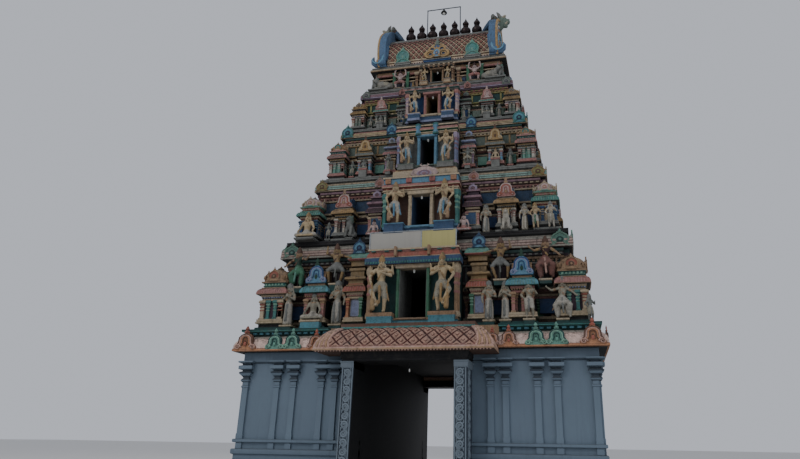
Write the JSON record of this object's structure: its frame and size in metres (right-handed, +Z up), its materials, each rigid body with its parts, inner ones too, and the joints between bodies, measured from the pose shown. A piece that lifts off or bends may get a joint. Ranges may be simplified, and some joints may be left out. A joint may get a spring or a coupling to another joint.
{
  "type": "temple gateway tower",
  "caption": "South Indian temple gateway tower: moulded stone base with a vaulted-eave gateway, stepped storeys of small shrines round a central door, and a wagon roof with finials.",
  "frame": {"origin": "on the ground at the middle of the tower's plan", "axes": "+Z up; -Y is the front, the street side with the sign board; +X to the right seen from the front"},
  "size_m": [10.68, 9.54, 18.55],
  "materials": {
    "base_stone": "matte",
    "carved_stone": "matte",
    "canopy_tiles": "matte",
    "cornice_paint_base": "matte",
    "wall_paint_1": "matte",
    "wall_paint_2": "matte",
    "wall_paint_3": "matte",
    "wall_paint_4": "matte",
    "wall_paint_5": "matte",
    "portal_paint": "matte",
    "cornice_paint_1": "matte",
    "cornice_paint_2": "matte",
    "cornice_paint_3": "matte",
    "cornice_paint_4": "matte",
    "cornice_paint_5": "matte",
    "roof_tiles": "matte",
    "gable_paint": "matte",
    "finial_metal": "satin",
    "lamp_steel": "satin",
    "lamp_shade": "satin",
    "board_paint": "satin"
  },
  "bodies": {
    "root": {"plinth_right": "base_stone", "plinth_left": "base_stone", "base_wall_right": "base_stone", "base_wall_left": "base_stone", "gate_jamb_front_right": "carved_stone", "gate_jamb_front_left": "carved_stone", "gate_jamb_back_right": "carved_stone", "gate_jamb_back_left": "carved_stone", "gate_lintel_front": "carved_stone", "gate_lintel_back": "carved_stone", "gate_canopy_front": "canopy_tiles", "gate_canopy_back": "canopy_tiles", "base_cornice": "cornice_paint_base", "storey_1_wall_right": "wall_paint_1", "storey_1_wall_left": "wall_paint_1", "storey_1_portal_front": "portal_paint", "storey_1_portal_back": "portal_paint", "storey_1_cornice": "cornice_paint_1", "storey_2_wall_right": "wall_paint_2", "storey_2_wall_left": "wall_paint_2", "storey_2_portal_front": "portal_paint", "storey_2_portal_back": "portal_paint", "storey_2_cornice": "cornice_paint_2", "storey_3_wall_right": "wall_paint_3", "storey_3_wall_left": "wall_paint_3", "storey_3_portal_front": "portal_paint", "storey_3_portal_back": "portal_paint", "storey_3_cornice": "cornice_paint_3", "storey_4_wall_right": "wall_paint_4", "storey_4_wall_left": "wall_paint_4", "storey_4_portal_front": "portal_paint", "storey_4_portal_back": "portal_paint", "storey_4_cornice": "cornice_paint_4", "storey_5_wall_right": "wall_paint_5", "storey_5_wall_left": "wall_paint_5", "storey_5_portal_front": "portal_paint", "storey_5_portal_back": "portal_paint", "storey_5_cornice": "cornice_paint_5", "wagon_roof": "roof_tiles", "gable_end_right": "gable_paint", "gable_end_left": "gable_paint", "finial_1": "finial_metal", "finial_2": "finial_metal", "finial_3": "finial_metal", "finial_4": "finial_metal", "finial_5": "finial_metal", "finial_6": "finial_metal", "finial_7": "finial_metal", "lamp_frame": "lamp_steel", "lamp": "lamp_shade", "sign_board": "board_paint"}
  },
  "joints": []
}
